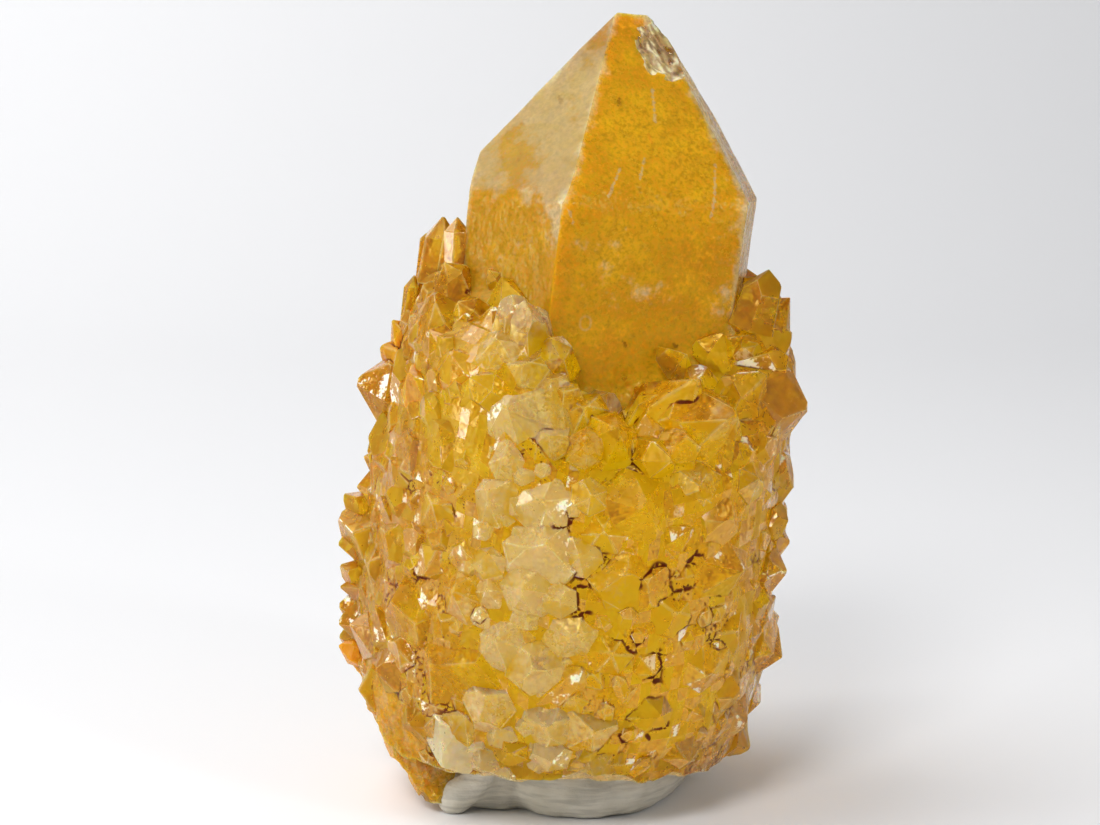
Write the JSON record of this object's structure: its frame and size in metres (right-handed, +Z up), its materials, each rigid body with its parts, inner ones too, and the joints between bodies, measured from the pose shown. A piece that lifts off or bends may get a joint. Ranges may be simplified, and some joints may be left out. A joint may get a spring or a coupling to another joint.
{
  "type": "quartz specimen",
  "caption": "Golden cactus quartz point, its lower part crusted with small quartz points, standing on a pad of mounting putty.",
  "frame": {"origin": "middle of the putty's flat underside, on the surface that the specimen stands on", "axes": "+Z up, the specimen's front faces -Y, +X to its right; the large point's axis leans 6.7 degrees towards +X"},
  "size_m": [0.0389, 0.0363, 0.0659],
  "materials": {
    "quartz": "glassy, clear to milky golden crystal with iron staining",
    "putty": "matt, faintly striated mounting putty"
  },
  "bodies": {
    "root": {"cactus_quartz": "quartz", "mounting_putty": "putty"}
  },
  "joints": []
}
